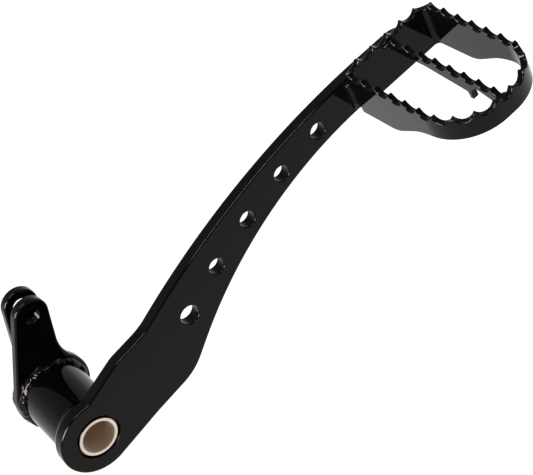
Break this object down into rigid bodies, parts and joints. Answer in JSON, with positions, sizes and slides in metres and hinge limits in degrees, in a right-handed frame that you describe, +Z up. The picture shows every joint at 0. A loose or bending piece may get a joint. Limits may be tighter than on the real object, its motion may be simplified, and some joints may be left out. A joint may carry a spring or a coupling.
{
  "type": "motorcycle brake lever",
  "caption": "Foot operated motorcycle brake lever: drilled flat arm on a pivot tube with two clevis plates and a serrated open tread cage.",
  "frame": {"origin": "centre of the pivot bore in the outer face of the arm", "axes": "+X along the tread away from the pivot, +Y inboard along the pivot axis, +Z up with the teeth on top"},
  "size_m": [0.2502, 0.1351, 0.0844],
  "materials": {
    "powder_coat": "gloss black powder coat",
    "sintered_bronze": "sintered"
  },
  "bodies": {
    "root": {"arm_plate": "powder_coat", "pivot_tube": "powder_coat", "bushing_outer": "sintered_bronze", "bushing_inner": "sintered_bronze", "clevis_plate_outer": "powder_coat", "clevis_plate_inner": "powder_coat", "tread_ring": "powder_coat", "tread_center_bar": "powder_coat", "weld_tube_arm": "powder_coat", "weld_clevis_outer": "powder_coat", "weld_clevis_inner": "powder_coat", "weld_tread_near": "powder_coat", "weld_tread_far": "powder_coat", "weld_bar_root": "powder_coat", "weld_bar_nose": "powder_coat"}
  },
  "joints": []
}
